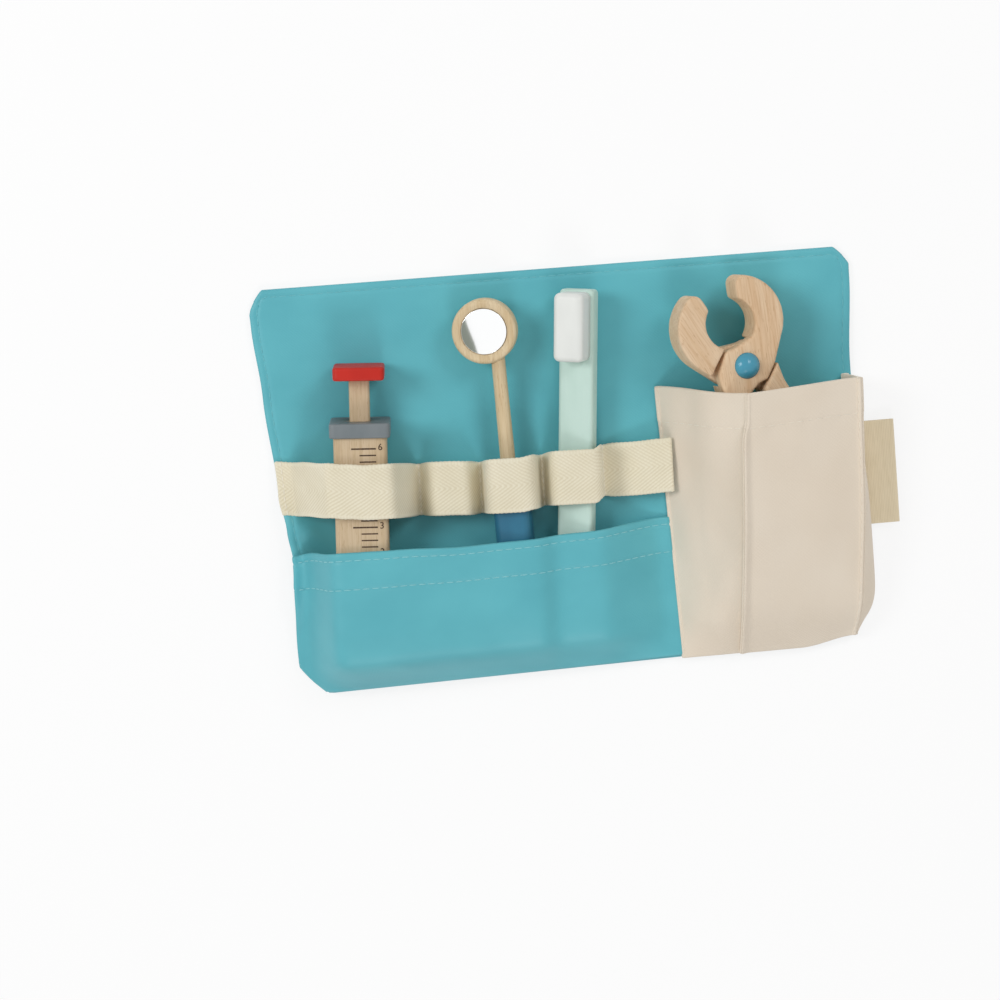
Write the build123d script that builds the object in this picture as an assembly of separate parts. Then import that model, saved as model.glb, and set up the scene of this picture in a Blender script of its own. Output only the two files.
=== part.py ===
"""Toy dentist set: a flat sewn tool case with four wooden play tools, lying open on its back.

Millimetres. The origin is the middle of the case's back face. +X runs to the case's right
edge, +Y to its top edge and +Z out of its front, away from the table.
Each tool is modelled along its own Y axis with its front towards +Z, then laid on the case.
"""
from build123d import *
from math import cos, radians, sin, tan
import os

os.makedirs("parts", exist_ok=True)

# Case panel, two layers of coated canvas sewn together round the edge
case_height = 145.0
case_width = 212.0
case_left_taper = 4.7
case_corner_radius = 9.0
canvas = 1.2
lining_top = 2 * canvas
case_side = case_width / 2

# Clearances
rest_gap = 0.3
pliers_rest_gap = 0.6
loop_clearance = 1.3
pocket_clearance = 1.0
running_clearance = 0.08
lap_clearance = 0.25
cap_clearance = 0.1

# Loop tape, a cotton webbing sewn across the case
tape_width = 19.5
tape_thickness = 1.3
tape_slope = -1.5
tape_mid_x = -31.0
tape_mid_y = 0.8
tape_left_inset = 4.5
tape_sewn_end = 4.0
tape_sewn_bend = 1.5
tape_crest_bend = 3.5
tape_crest_inset = 1.0
tape_foot_bend = 1.0
tape_stitch_x = (-52.5, -30.5, -8.2, 13.4)
tape_stitch_flat = 1.0
empty_loop_height = 9.0
empty_loop_inset = 5.0
tape_end_overlap = 2.6
tape_end_gap = 0.9
tape_bridge_height = 4.6
tape_bridge_reach = 6.0
tape_bridge_bend = 12.0
tape_margin = 2.0

# Front pocket, low and taut over the lower ends of three tools
pocket_lip_y = -20.8
pocket_knee_y = -50.5
pocket_toe_y = -60.5
pocket_hem_margin = 0.8
pocket_toe_share = 0.94
pocket_hem_share = 0.06
pocket_left_inset = 6.2
pocket_right_gap = 0.1
pocket_flange = 3.0
pocket_sheet = 1.2
pocket_fold = 3.0
pocket_small_fold = 1.2
pocket_step = 4.4
pocket_margin_below = 2.0
pocket_margin_above = 1.0

# Box pocket, three canvas panels that stand round the pliers.
# Its insets run in from the case's right edge, from the lip to the hem.
box_lip_y = 25.8
box_middle_y = -21.0
box_low_y = -56.0
box_sheet = 1.1
box_seam_inset_top = 70.8
box_seam_inset_bottom = 68.6
box_flange = 2.6
box_ridge_inset = (43.4, 46.4, 47.6, 47.8)
box_ridge_height = (30.5, 27.5, 16.5)
box_crease_inset = (1.6, 3.0, 5.4, 8.6)
box_crease_height = (21.5, 20.0, 13.5)
box_crease_lap = 0.4
box_bulge_inset = (2.4, -1.0, -2.2, 7.2)
box_base_inset = (4.6, 3.8, 4.4, 6.4)
box_bulge_share = 0.5
box_outer_flange = 2.2

# Bare woven tag, sewn into the right side seam
tag_length = 37.5
tag_overhang = 13.0
tag_root_inset = 3.9
tag_middle_y = -10.7
tag_sheet = 0.9

# Syringe
syringe_x = -73.2
syringe_y = -2.1
syringe_lean = -4.0
syringe_pitch = 0.8
barrel_width = 18.7
barrel_edge_radius = 1.8
barrel_bottom = -47.0
barrel_floor = 4.0
bore_radius = 6.4
collar_width = 21.4
collar_bottom = 22.6
collar_height = 5.2
collar_cap = 2.4
nozzle_radius = 3.4
nozzle_tip_radius = 2.2
nozzle_length = 8.5
nozzle_spigot_radius = 2.4
plunger_travel_in = 14.5
rod_width = 7.2
rod_edge_radius = 1.2
button_width = 18.0
button_height = 4.7
button_edge_radius = 1.6
button_mortise = 2.6
piston_length = 8.0

# Mouth mirror
mirror_x = -20.3
mirror_y = -0.4
mirror_lean = 0.6
mirror_pitch = 1.2
mirror_roll = -10.0
grip_width = 12.8
grip_edge_radius = 3.2
grip_bottom = -58.0
grip_top = 1.0
grip_mortise = 12.0
mirror_rod_radius = 2.75
ring_radius = 11.5
ring_thickness = 7.0
ring_edge_radius = 1.2
ring_centre_y = 53.5
ring_offset = -3.7
ring_tenon_radius = 2.0
ring_tenon = 4.5
tenon_root = 4.0
rod_shoulder_reach = 1.5
glass_radius = 8.1
glass_thickness = 1.0
glass_recess = 1.5

# Toothbrush
brush_x = 3.9
brush_y = -0.4
brush_lean = -5.2
brush_pitch = 1.5
brush_roll = -24.0
brush_width = 13.0
brush_thickness = 6.2
brush_edge_radius = 1.6
brush_bottom = -56.0
brush_top = 65.5
block_width = 11.0
block_length = 24.2
block_height = 8.6
block_edge_radius = 2.2
block_top_margin = 0.8

# Pliers: two arms that cross in a half-lap on one pin
pliers_inset = 41.5
pliers_y = 33.4
pliers_lean = 17.0
pliers_pitch = 3.0
pliers_roll = 12.0
pliers_open = 26.0
arm_thickness = 12.0
jaw_centre_y = 15.8
jaw_radius = 16.2
jaw_crown_angle = 35.0
jaw_tip_y = 31.6
jaw_tip_width = 3.4
jaw_nose_drop = 3.0
jaw_nose_inset = 1.0
jaw_nose_round = 0.9
jaw_bite_y = 23.8
jaw_eye_x = 5.4
jaw_eye_y = 16.2
jaw_eye_low = (3.3, 9.7)
jaw_gap = 0.3
neck = (14.6, 8.8)
boss_reach = 11.0
boss_top = ((-3.4, 6.8), (-6.8, 6.2))
shoulder_y = -2.0
shoulder_fillet = 4.0
waist_inset = 0.4
waist_y = -0.8
waist_fillet = 5.0
crotch = ((3.6, -7.0), (7.0, -6.2))
crotch_y = -10.6
lap_distance = 9.75
lap_angle = 27.6
handle_width_top = 8.4
handle_width_end = 7.0
handle_root_y = -12.0
handle_root_fillet = 8.0
handle_length = 60.0
handle_inner_taper = 0.6
handle_end_trim = 0.2
pin_radius = 2.6
cap_radius = 4.6
cap_height = 2.8


def along_y(section, start, end):
    """Extrude an (x, z) section from one y to another."""
    return extrude(Plane.XZ.offset(-start) * section, amount=start - end)


def bar(width, height, edge, start, end):
    """A bar along Y with rounded long edges."""
    return along_y(RectangleRounded(width, height, edge), start, end)


def dowel(radius, start, end):
    """A round rod along Y."""
    return along_y(Circle(radius), start, end)


def laid(pieces, x, y, lean, pitch, roll=0.0, gap=rest_gap):
    """The place of a tool: turned, then let down until it lies a gap above the lining."""
    turn = Rot(0, 0, lean) * Rot(pitch, 0, 0) * Rot(0, roll, 0)
    lowest = min((turn * piece).bounding_box().min.Z for piece in pieces)
    return Pos(x, y, lining_top + gap - lowest) * turn


def reach(solid, low_y, high_y):
    """The box round the stretch of a tool between two heights on the case."""
    slab = Pos(0, (low_y + high_y) / 2, 0) * Box(4 * case_width, high_y - low_y, 4 * case_width)
    return (solid & slab).bounding_box()


def rounded_path(points, radii):
    """Straight runs through the points, joined by a tangent arc at each inner one."""
    path = [Vector(*point) for point in points]
    edges = []
    start = path[0]
    for before, corner, after, radius in zip(path, path[1:], path[2:], radii):
        run_in = (corner - before).normalized()
        run_out = (after - corner).normalized()
        half_turn = radians(run_in.get_angle(run_out)) / 2
        enter = corner - run_in * radius * tan(half_turn)
        leave = corner + run_out * radius * tan(half_turn)
        inward = (run_out - run_in).normalized()
        middle = corner + inward * (radius / cos(half_turn) - radius)
        edges.extend([Line(start, enter), ThreePointArc(enter, middle, leave)])
        start = leave
    return [*edges, Line(start, path[-1])]


def sheet_section(y, points, thickness, radii):
    """One upright slice of a sheet: a rounded line and its copy one thickness higher."""
    under = rounded_path(points, radii)
    over = rounded_path([(x, z + thickness) for x, z in points], radii)
    sides = [Line(under[0] @ 0, over[0] @ 0), Line(under[-1] @ 1, over[-1] @ 1)]
    return Plane.XZ.offset(-y) * make_face([*under, *over, *sides])


def folded_section(y, points, thickness):
    """One upright slice of a sheet with sharp folds, one thickness deep along its normals."""
    path = [Vector(x, z) for x, z in points]
    runs = [(after - before).normalized() for before, after in zip(path, path[1:])]
    normals = [Vector(-run.Y, run.X) for run in runs]
    over = []
    for point, left, right in zip(path, [normals[0], *normals], [*normals, normals[-1]]):
        over.append(point + (left + right) * (thickness / (1 + left.dot(right))))
    return Plane.XZ.offset(-y) * make_face(Polyline(*path, *reversed(over), close=True))


# Case

def case_outline():
    top = case_height / 2
    corners = Polygon((case_left_taper - case_side, -top), (case_side, -top),
                      (case_side, top), (-case_side, top), align=None)
    return fillet(corners.vertices(), case_corner_radius)


def case_panel(bottom):
    return extrude(Plane.XY.offset(bottom) * case_outline(), amount=canvas)


def side_tag():
    width = tag_root_inset + tag_overhang
    middle_x = case_side - tag_root_inset + width / 2
    middle = Pos(middle_x, tag_middle_y, lining_top + tag_sheet / 2)
    return middle * Box(width, tag_length, tag_sheet) - box_right_gusset()


def from_right_edge(insets):
    return [case_side - inset for inset in insets]


def box_pocket_levels():
    """Heights on the case, with the ridge and crease heights, from the lip to the hem."""
    bottom = -case_height / 2
    ridge = [*box_ridge_height, lining_top + box_sheet]
    crease = [*box_crease_height, lining_top + box_sheet]
    return [box_lip_y, box_middle_y, box_low_y, bottom], ridge, crease


def left_seam(y):
    """The x of the box pocket's left seam at a height on the case."""
    share = (box_lip_y - y) / (box_lip_y + case_height / 2)
    inset = box_seam_inset_top + share * (box_seam_inset_bottom - box_seam_inset_top)
    return case_side - inset


def box_left_gusset():
    levels, ridge, _ = box_pocket_levels()
    slices = []
    for y, x, height in zip(levels, from_right_edge(box_ridge_inset), ridge):
        seam = left_seam(y)
        points = [(seam - box_flange, lining_top), (seam, lining_top),
                  (x - box_sheet / 2, height - box_sheet)]
        slices.append(folded_section(y, points, box_sheet))
    return loft(slices, ruled=True)


def box_front():
    levels, ridge, crease = box_pocket_levels()
    lefts = from_right_edge(box_ridge_inset)
    rights = from_right_edge(box_crease_inset)
    slices = []
    for y, left, high, right, low in zip(levels, lefts, ridge, rights, crease):
        points = [(left, high - box_sheet), (right, low - box_sheet)]
        slices.append(folded_section(y, points, box_sheet))
    return loft(slices, ruled=True)


def box_right_gusset():
    levels, _, crease = box_pocket_levels()
    slices = []
    beneath = (tag_sheet, tag_sheet, 0.0, 0.0)
    tops = from_right_edge(box_crease_inset)
    bulges = from_right_edge(box_bulge_inset)
    bases = from_right_edge(box_base_inset)
    stations = zip(levels, tops, crease, bulges, bases, beneath)
    for y, top, height, bulge, base, spacer in stations:
        under = lining_top + spacer
        drop = height - box_sheet - under
        points = [(top + box_crease_lap, height - box_sheet), (bulge, under + box_bulge_share * drop),
                  (base, under), (base + box_outer_flange, under)]
        slices.append(folded_section(y, points, box_sheet))
    return loft(slices, ruled=True)


def loop_tape(tools):
    """The webbing: up over each tool, down to each stitch line, and onto the box pocket."""
    seat = lining_top + tape_thickness / 2
    low = tape_mid_y - tape_width / 2 - tape_margin
    high = tape_mid_y + tape_width / 2 + tape_margin
    first, second, third, last = tape_stitch_x
    syringe, mirror, brush = (reach(tool, low, high) for tool in tools)
    lift = loop_clearance + tape_thickness / 2
    start = tape_left_inset - case_side
    points = [(start, seat), (start + tape_sewn_end, seat)]
    radii = [tape_sewn_bend]

    def over(box):
        side = lift - tape_crest_inset
        crest = box.max.Z + lift
        points.extend([(box.min.X - side, crest), (box.max.X + side, crest)])
        radii.extend([tape_crest_bend, tape_crest_bend])

    def stitched(x):
        points.extend([(x - tape_stitch_flat, seat), (x + tape_stitch_flat, seat)])
        radii.extend([tape_foot_bend, tape_foot_bend])

    over(syringe)
    stitched(first)
    points.extend([(first + empty_loop_inset, seat + empty_loop_height),
                   (second - empty_loop_inset, seat + empty_loop_height)])
    radii.extend([tape_crest_bend, tape_crest_bend])
    stitched(second)
    over(mirror)
    stitched(third)
    over(brush)
    stitched(last)
    seam = left_seam(0)
    slope = (box_ridge_height[0] - lining_top) / (case_side - box_ridge_inset[0] - seam)
    end = seam + tape_end_overlap
    above = box_sheet + tape_thickness + tape_end_gap
    points.extend([(seam - tape_bridge_reach, seat + tape_bridge_height),
                   (end, lining_top + tape_end_overlap * slope + above)])
    radii.append(tape_bridge_bend)
    strip = trace(rounded_path(points, radii), line_width=tape_thickness)
    band = along_y(strip, -tape_width / 2, tape_width / 2)
    turn = Pos(tape_mid_x, tape_mid_y, 0) * Rot(0, 0, tape_slope) * Pos(-tape_mid_x, 0, 0)
    return turn * band


def front_pocket(tools):
    """The taut pocket: a tent over three tools, sewn down at both sides and at the hem."""
    bottom = -case_height / 2 + pocket_hem_margin
    stations = ((pocket_lip_y, 1.0), (pocket_knee_y, 1.0), (pocket_toe_y, pocket_toe_share),
                (bottom, pocket_hem_share))
    slices = []
    for y, share in stations:
        low = max(y, pocket_knee_y) - pocket_margin_below
        boxes = [reach(tool, low, pocket_lip_y + pocket_margin_above) for tool in tools]
        lefts = [box.min.X - pocket_clearance for box in boxes]
        rights = [box.max.X + pocket_clearance for box in boxes]
        for index, (right, left) in enumerate(zip(rights, lefts[1:])):
            between = (right + left) / 2
            rights[index] = min(right, between - pocket_step / 2)
            lefts[index + 1] = max(left, between + pocket_step / 2)
        start = pocket_left_inset - case_side
        points = [(start, lining_top), (start + pocket_flange, lining_top)]
        for box, left, right in zip(boxes, lefts, rights):
            height = lining_top + share * (box.max.Z + pocket_clearance - lining_top)
            points.extend([(left, height), (right, height)])
        end = left_seam(y) - box_flange - pocket_right_gap
        points.extend([(end - pocket_flange, lining_top), (end, lining_top)])
        radii = [pocket_small_fold, pocket_fold, pocket_fold, pocket_fold,
                 pocket_small_fold, pocket_small_fold, pocket_fold, pocket_small_fold]
        slices.append(sheet_section(y, points, pocket_sheet, radii))
    return loft(slices, ruled=True)


# Syringe, along its own Y axis

def syringe_pieces():
    top = collar_bottom + collar_height - collar_cap
    barrel = bar(barrel_width, barrel_width, barrel_edge_radius, barrel_bottom, top)
    barrel -= dowel(bore_radius, barrel_bottom + barrel_floor, top)
    barrel -= dowel(nozzle_spigot_radius, barrel_bottom, barrel_bottom + barrel_floor)
    collar = bar(collar_width, collar_width, barrel_edge_radius,
                 collar_bottom, collar_bottom + collar_height)
    collar -= bar(barrel_width, barrel_width, barrel_edge_radius, collar_bottom, top)
    rod_hole = rod_width + 2 * running_clearance
    collar -= bar(rod_hole, rod_hole, rod_edge_radius, top, collar_bottom + collar_height)
    base = Plane.XZ.offset(-barrel_bottom) * Circle(nozzle_radius)
    tip = Plane.XZ.offset(nozzle_length - barrel_bottom) * Circle(nozzle_tip_radius)
    nozzle = loft([base, tip])
    nozzle += dowel(nozzle_spigot_radius, barrel_bottom, barrel_bottom + barrel_floor)
    return barrel, collar, nozzle


def plunger_pieces():
    button_bottom = collar_bottom + collar_height + plunger_travel_in + rest_gap
    button = bar(button_width, button_width, button_edge_radius,
                 button_bottom, button_bottom + button_height)
    mortise_top = button_bottom + button_mortise
    button -= bar(rod_width, rod_width, rod_edge_radius, button_bottom, mortise_top)
    piston_bottom = barrel_bottom + barrel_floor + plunger_travel_in + 2 * rest_gap
    piston_top = piston_bottom + piston_length
    piston = dowel(bore_radius - running_clearance, piston_bottom, piston_top)
    socket = piston_bottom + piston_length / 2
    piston -= bar(rod_width, rod_width, rod_edge_radius, socket, piston_top)
    rod = bar(rod_width, rod_width, rod_edge_radius, socket, mortise_top)
    return rod, button, piston


# Mouth mirror

def mirror_pieces():
    ring_front = ring_thickness / 2
    ring = Cylinder(ring_radius, ring_thickness)
    ring = fillet(ring.edges().filter_by(GeomType.CIRCLE), ring_edge_radius)
    ring -= Pos(0, 0, ring_front - glass_recess / 2) * Cylinder(glass_radius, glass_recess)
    ring = Pos(ring_offset, ring_centre_y, 0) * ring
    drop = (ring_radius ** 2 - ring_offset ** 2) ** 0.5
    shoulder = ring_centre_y - drop
    tenon_top = shoulder + ring_tenon
    ring -= dowel(ring_tenon_radius, shoulder - tenon_root, tenon_top)
    seat = ring_front - glass_recess
    glass_place = Pos(ring_offset, ring_centre_y, seat + glass_thickness / 2)
    glass = glass_place * Cylinder(glass_radius, glass_thickness)
    rod = dowel(mirror_rod_radius, grip_top - grip_mortise, shoulder + rod_shoulder_reach)
    rod -= Pos(ring_offset, ring_centre_y, 0) * Cylinder(ring_radius, ring_thickness)
    rod += dowel(ring_tenon_radius, shoulder - tenon_root, tenon_top)
    grip = bar(grip_width, grip_width, grip_edge_radius, grip_bottom, grip_top)
    grip -= dowel(mirror_rod_radius, grip_top - grip_mortise, grip_top)
    return ring, glass, rod, grip


# Toothbrush

def brush_pieces():
    handle = bar(brush_width, brush_thickness, brush_edge_radius, brush_bottom, brush_top)
    block_top = brush_top - block_top_margin
    block = bar(block_width, 2 * block_height, block_edge_radius, block_top - block_length, block_top)
    block &= Pos(0, 0, block_height / 2) * Box(block_width, 4 * brush_top, block_height)
    block = Pos(0, 0, brush_thickness / 2) * block
    front = block.faces().sort_by(Axis.Z)[-1]
    block = fillet(front.edges().filter_by(Axis.X), block_edge_radius)
    return handle, block


# Pliers, pivot at the origin, jaws towards +Y, front face towards +Z

def arm_outline():
    """The arm with the right jaw and the left handle, as it lies when the jaws are shut."""
    bite = jaw_gap / 2
    waist = (boss_reach - waist_inset, waist_y)
    shoulder = (-boss_reach, shoulder_y)
    handle_in = -jaw_gap
    handle_root = (handle_in - handle_width_top, handle_root_y)
    end_in = handle_in - handle_inner_taper
    end_out = end_in - handle_width_end
    crown = radians(jaw_crown_angle)
    outer_mid = (jaw_radius * cos(crown), jaw_centre_y + jaw_radius * sin(crown))
    tip = (bite + jaw_tip_width, jaw_tip_y)
    nose = (bite + jaw_nose_inset, jaw_tip_y - jaw_nose_round)
    bite_top = (bite, jaw_tip_y - jaw_nose_drop)
    boss_inner, boss_outer = boss_top
    crotch_inner, crotch_outer = crotch
    edges = [
        Line(bite_top, (bite, jaw_bite_y)),
        ThreePointArc((bite, jaw_bite_y), (jaw_eye_x, jaw_eye_y), jaw_eye_low),
        Line(jaw_eye_low, boss_inner),
        Line(boss_inner, boss_outer),
        Line(boss_outer, shoulder),
        Line(shoulder, handle_root),
        Line(handle_root, (end_out, -handle_length)),
        Line((end_out, -handle_length), (end_in, -handle_length)),
        Line((end_in, -handle_length), (handle_in, crotch_y)),
        Line((handle_in, crotch_y), crotch_inner),
        Line(crotch_inner, crotch_outer),
        Line(crotch_outer, waist),
        Line(waist, neck),
        ThreePointArc(neck, outer_mid, tip),
        ThreePointArc(tip, nose, bite_top),
    ]
    outline = make_face(edges)
    ends = outline.vertices().sort_by(Axis.Y)[:2]
    outline = fillet(ends, handle_width_end / 2 - handle_end_trim)
    softened = ((waist, waist_fillet), (shoulder, shoulder_fillet), (handle_root, handle_root_fillet))
    for point, radius in softened:
        corner = outline.vertices().sort_by_distance((*point, 0))[0]
        outline = fillet(corner, radius)
    return outline


def arm():
    """The right-jaw arm, with its rear half cut away across the pivot."""
    solid = extrude(arm_outline(), amount=arm_thickness / 2, both=True)
    pocket = Box(2 * handle_length, 2 * lap_distance, arm_thickness / 2 + lap_clearance)
    pocket = Pos(0, 0, -arm_thickness / 4 + lap_clearance / 2) * Rot(0, 0, -lap_angle) * pocket
    return solid - pocket


def pliers_pieces():
    front = arm()
    back = mirror(arm(), about=Plane.YZ)
    back = mirror(back, about=Plane.XY)
    hole = Cylinder(pin_radius, 2 * arm_thickness)
    loose_hole = Cylinder(pin_radius + running_clearance, 2 * arm_thickness)
    front = Rot(0, 0, -pliers_open / 2) * front - hole
    back = Rot(0, 0, pliers_open / 2) * back - loose_hole
    pin = Cylinder(pin_radius, arm_thickness)
    sphere_radius = (cap_radius ** 2 + cap_height ** 2) / (2 * cap_height)
    dome = Pos(0, 0, cap_height - sphere_radius) * Sphere(sphere_radius)
    dome &= Pos(0, 0, cap_height) * Box(4 * cap_radius, 4 * cap_radius, 2 * cap_height)
    face = arm_thickness / 2
    front_cap = Pos(0, 0, face) * dome
    back_cap = Pos(0, 0, -face - cap_clearance) * mirror(dome, about=Plane.XY)
    return front, back, pin, front_cap, back_cap


def axis_of(place):
    """A tool's own Y axis as a direction on the case."""
    return (place * Pos(0, 1, 0)).position - place.position


def build_nodes():
    """Every piece in its place, by node name."""
    syringe = syringe_pieces()
    plunger = plunger_pieces()
    mirror_set = mirror_pieces()
    brush = brush_pieces()
    pliers = pliers_pieces()
    syringe_place = laid([*syringe, *plunger], syringe_x, syringe_y, syringe_lean, syringe_pitch)
    mirror_place = laid(mirror_set, mirror_x, mirror_y, mirror_lean, mirror_pitch, mirror_roll)
    brush_place = laid(brush, brush_x, brush_y, brush_lean, brush_pitch, brush_roll)
    pliers_place = laid(pliers, case_side - pliers_inset, pliers_y,
                        pliers_lean, pliers_pitch, pliers_roll, pliers_rest_gap)
    for name, place in (("syringe", syringe_place), ("mirror", mirror_place),
                        ("brush", brush_place), ("pliers", pliers_place)):
        normal = (place * Pos(0, 0, 1)).position - place.position
        print(name, "at", place.position, "axis", axis_of(place), "normal", normal)
    nodes = {
        "outer_panel": case_panel(0),
        "lining_panel": case_panel(canvas),
        "side_tag": side_tag(),
        "box_pocket_left_gusset": box_left_gusset(),
        "box_pocket_front": box_front(),
        "box_pocket_right_gusset": box_right_gusset(),
    }
    names = ("syringe_barrel", "syringe_collar", "syringe_nozzle")
    nodes.update({name: syringe_place * piece for name, piece in zip(names, syringe)})
    names = ("plunger_rod", "plunger_button", "plunger_piston")
    nodes.update({name: syringe_place * piece for name, piece in zip(names, plunger)})
    names = ("mirror_ring", "mirror_glass", "mirror_rod", "mirror_grip")
    nodes.update({name: mirror_place * piece for name, piece in zip(names, mirror_set)})
    names = ("brush_handle", "brush_bristle_block")
    nodes.update({name: brush_place * piece for name, piece in zip(names, brush)})
    names = ("pliers_front_arm", "pliers_back_arm", "pliers_pivot_pin",
             "pliers_front_cap", "pliers_back_cap")
    nodes.update({name: pliers_place * piece for name, piece in zip(names, pliers)})
    pocketed = [nodes["syringe_barrel"], nodes["mirror_grip"], nodes["brush_handle"]]
    nodes["loop_tape"] = loop_tape(pocketed)
    nodes["front_pocket"] = front_pocket(pocketed)
    return nodes


for name, solid in build_nodes().items():
    export_step(solid, f"parts/{name}.step")
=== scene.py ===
"""Looks of the toy dentist set: a sewn canvas tool case and four sanded and painted wooden tools."""
from math import copysign, cos, exp, pi, radians, sin, sqrt

import bmesh
import bpy
from mathutils import Matrix, Vector, noise


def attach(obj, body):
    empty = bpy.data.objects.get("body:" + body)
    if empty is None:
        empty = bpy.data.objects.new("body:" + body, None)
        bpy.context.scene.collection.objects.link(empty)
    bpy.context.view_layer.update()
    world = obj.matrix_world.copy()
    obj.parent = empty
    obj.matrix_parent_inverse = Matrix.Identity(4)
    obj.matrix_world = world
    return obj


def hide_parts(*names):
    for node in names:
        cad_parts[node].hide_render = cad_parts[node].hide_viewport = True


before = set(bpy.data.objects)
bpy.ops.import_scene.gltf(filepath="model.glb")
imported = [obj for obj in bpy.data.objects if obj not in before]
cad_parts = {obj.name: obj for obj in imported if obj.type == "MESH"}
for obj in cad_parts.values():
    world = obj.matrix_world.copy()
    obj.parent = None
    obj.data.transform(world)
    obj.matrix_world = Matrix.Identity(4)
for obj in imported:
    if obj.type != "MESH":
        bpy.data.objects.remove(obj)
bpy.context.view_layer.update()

MM = 0.001
WHITE = (1, 1, 1, 1)

# Sizes in millimetres, those of the part's own source
CASE_WIDTH = 212.0
CASE_HEIGHT = 145.0
CANVAS = 1.2
LINING_TOP = 2 * CANVAS
CASE_SIDE = CASE_WIDTH / 2
CASE_TOP = CASE_HEIGHT / 2

TAPE_WIDTH = 19.5
TAPE_SHEET = 1.1
TAPE_SLOPE = radians(-1.5)
TAPE_MIDDLE = (-31.0, 0.8)
TAPE_STITCH_X = (-52.5, -30.5, -8.2, 13.4)

POCKET_LIP = -20.8
POCKET_HEM = -71.7
POCKET_SHEET = 1.0
LIP_STITCH = 2.7
HEM_DEPTH = 13.0
HEM_STITCH = HEM_DEPTH - 0.6

# Box pocket from hem to lip: level, then ridge, crease, bulge and base as inset from the right edge
BOX_LEVELS = (-72.5, -56.0, -21.0, 25.8)
RIDGE = ((45.8, 3.5), (45.4, 16.5), (43.7, 27.5), (41.4, 30.5))
CREASE = ((6.6, 3.5), (5.0, 13.5), (3.0, 20.0), (1.6, 21.5))
BULGE = ((5.6, 3.0), (-1.8, 8.0), (-1.0, 11.2), (2.4, 12.0))
BASE_INSET = (7.0, 4.4, 3.8, 4.6)
SEAM_INSET = (68.6, 70.8)
BOX_SHEET = 0.9
FIN = 2.6

# Thread
STITCH_PITCH = 3.3
STITCH_LENGTH = 2.7
THREAD_RADIUS = 0.2

# Tools: origin, lean about Z, pitch about X and roll about the tool's own axis
SYRINGE_PLACE = (-73.2, -2.1, 13.0834, -4.0, 0.8, 0.0)
MIRROR_PLACE = (-20.3, -0.4, 10.8202, 0.6, 1.2, -10.0)
BRUSH_PLACE = (3.9, -0.4, 9.12754, -5.2, 1.5, -24.0)
PLIERS_PLACE = (64.5, 33.4, 15.9939, 17.0, 3.0, 12.0)
PLIERS_SWING = 13.0


def placed(x, y, z, lean, pitch, roll):
    """The matrix of a tool's place on the case, in millimetres."""
    turn = Matrix.Rotation(radians(lean), 4, "Z")
    turn = turn @ Matrix.Rotation(radians(pitch), 4, "X") @ Matrix.Rotation(radians(roll), 4, "Y")
    return Matrix.Translation((x, y, z)) @ turn


SYRINGE = placed(*SYRINGE_PLACE)
MIRROR = placed(*MIRROR_PLACE)
BRUSH = placed(*BRUSH_PLACE)
PLIERS = placed(*PLIERS_PLACE)
FRONT_ARM = PLIERS @ Matrix.Rotation(radians(-PLIERS_SWING), 4, "Z")
BACK_ARM = PLIERS @ Matrix.Rotation(radians(PLIERS_SWING), 4, "Z")


# Nodes and colours

def add(tree, kind, inputs=(), **settings):
    """Add one node with its settings, and give each named input a value or the socket that feeds it."""
    made = tree.nodes.new(kind)
    for key, value in settings.items():
        setattr(made, key, value)
    for key, value in dict(inputs).items():
        if isinstance(value, bpy.types.NodeSocket):
            tree.links.new(value, made.inputs[key])
        else:
            made.inputs[key].default_value = value
    return made


def paint(code):
    """A linear colour from an sRGB hex value."""
    channels = [int(code[i:i + 2], 16) / 255 for i in (1, 3, 5)]
    linear = [c / 12.92 if c <= 0.04045 else ((c + 0.055) / 1.055) ** 2.4 for c in channels]
    return (*linear, 1.0)


def material(name, **sockets):
    """A principled material and its tree; sockets are set on the shader itself."""
    made = bpy.data.materials.new(name)
    made.use_nodes = True
    shader = made.node_tree.nodes["Principled BSDF"]
    for key, value in sockets.items():
        shader.inputs[key.replace("_", " ")].default_value = value
    return made, made.node_tree


def surfaced(made, tone=None, height=None, depth=0.0):
    """The material with its colour and its relief from sockets; depth is in millimetres."""
    tree = made.node_tree
    inputs = tree.nodes["Principled BSDF"].inputs
    if tone:
        tree.links.new(tone, inputs["Base Color"])
    if height:
        bump = add(tree, "ShaderNodeBump", {"Height": height, "Strength": 1.0, "Distance": depth * MM})
        tree.links.new(bump.outputs["Normal"], inputs["Normal"])
    return made


def ramp(tree, factor, low, high, start=0.0, end=1.0):
    """The colour between two colours, by a factor."""
    made = add(tree, "ShaderNodeValToRGB", {"Fac": factor})
    made.color_ramp.elements[0].position = start
    made.color_ramp.elements[0].color = low
    made.color_ramp.elements[1].position = end
    made.color_ramp.elements[1].color = high
    return made.outputs["Color"]


def maths(tree, operation, *values):
    return add(tree, "ShaderNodeMath", dict(enumerate(values)), operation=operation).outputs[0]


def multiplied(tree, first, second, share=1.0):
    """A colour multiplied by another, by this share."""
    return add(tree, "ShaderNodeMix", {"Factor": share, 6: first, 7: second},
               data_type="RGBA", blend_type="MULTIPLY").outputs[2]


def cloth_uv(tree):
    """The cloth's own UV, whose unit is the metre."""
    return add(tree, "ShaderNodeUVMap", uv_map="cloth").outputs["UV"]


def even_noise(tree, size, detail):
    """Noise whose blots have this size in millimetres in every direction."""
    where = add(tree, "ShaderNodeTexCoord").outputs["Object"]
    values = {"Vector": where, "Scale": 1 / (size * MM), "Detail": detail}
    return add(tree, "ShaderNodeTexNoise", values).outputs[0]


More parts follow.
